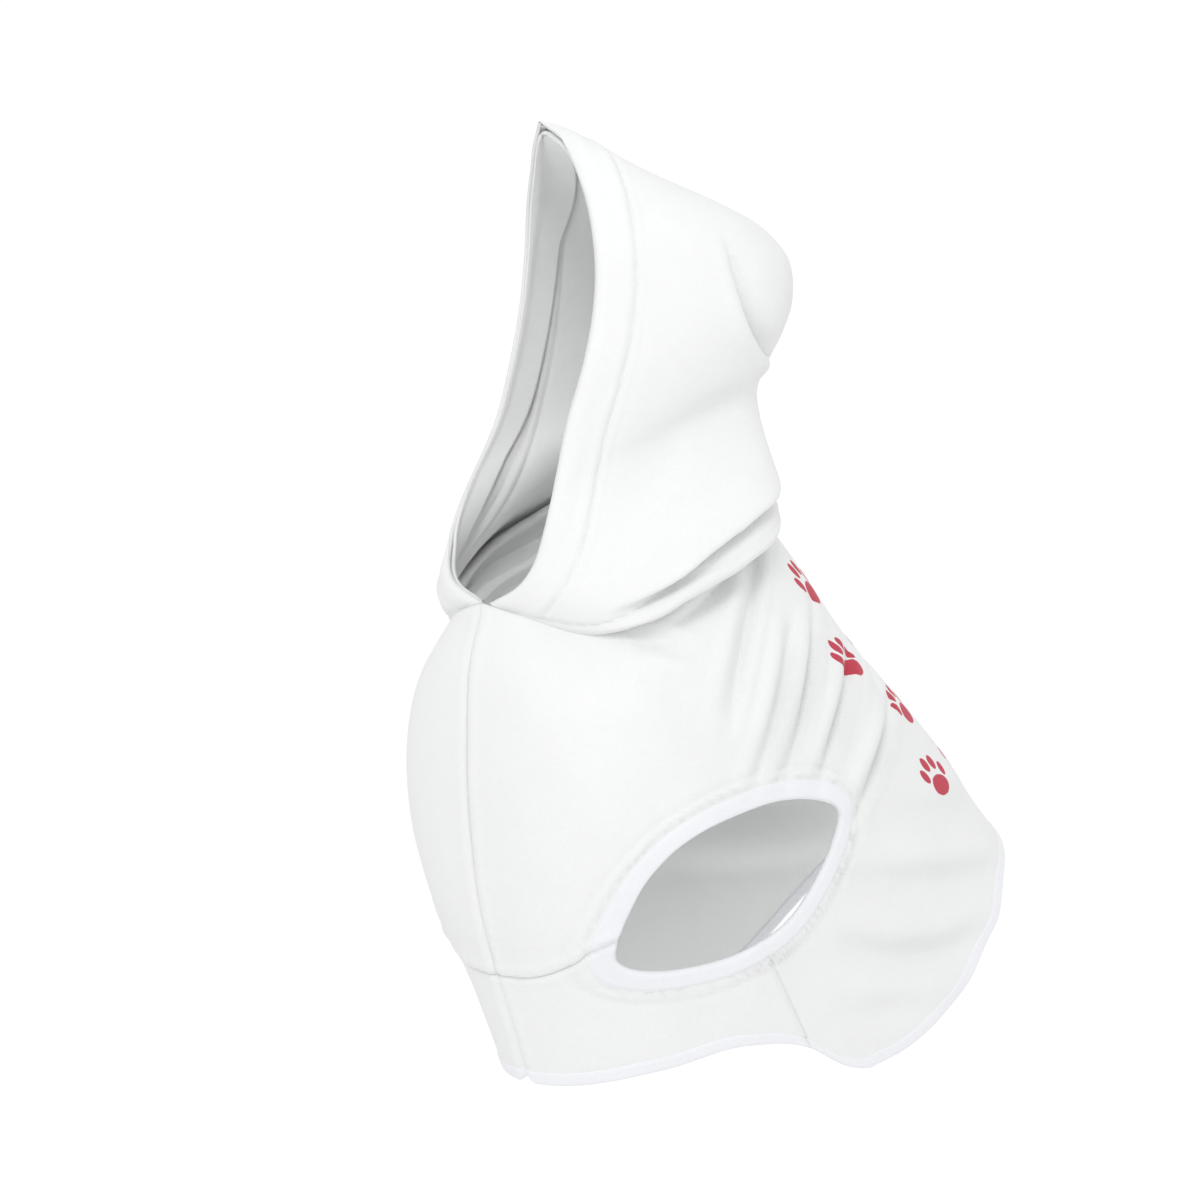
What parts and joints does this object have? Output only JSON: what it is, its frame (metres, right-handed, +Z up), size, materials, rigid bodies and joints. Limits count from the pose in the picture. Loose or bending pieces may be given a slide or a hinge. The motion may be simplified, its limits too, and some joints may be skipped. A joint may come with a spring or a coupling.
{
  "type": "dog hoodie",
  "caption": "Sleeveless hooded dog sweatshirt in its worn form, open at the hood, the neck, the front legs and the rear, with bound edges.",
  "frame": {"origin": "middle of the neckline, where the wearer's neck passes through", "axes": "+Z up, -Y the way the wearer faces, +X the wearer's left side"},
  "size_m": [0.1853, 0.3222, 0.4496],
  "materials": {
    "body_cloth": "matte brushed knit",
    "binding_cloth": "smooth matte knit"
  },
  "bodies": {
    "root": {"body_panel": "body_cloth", "belly_band_left": "body_cloth", "belly_band_right": "body_cloth", "belly_hem": "binding_cloth", "tail_binding": "binding_cloth", "arm_binding_left": "binding_cloth", "arm_binding_right": "binding_cloth", "hood_left": "body_cloth", "hood_right": "body_cloth", "hood_hem": "body_cloth"}
  },
  "joints": []
}
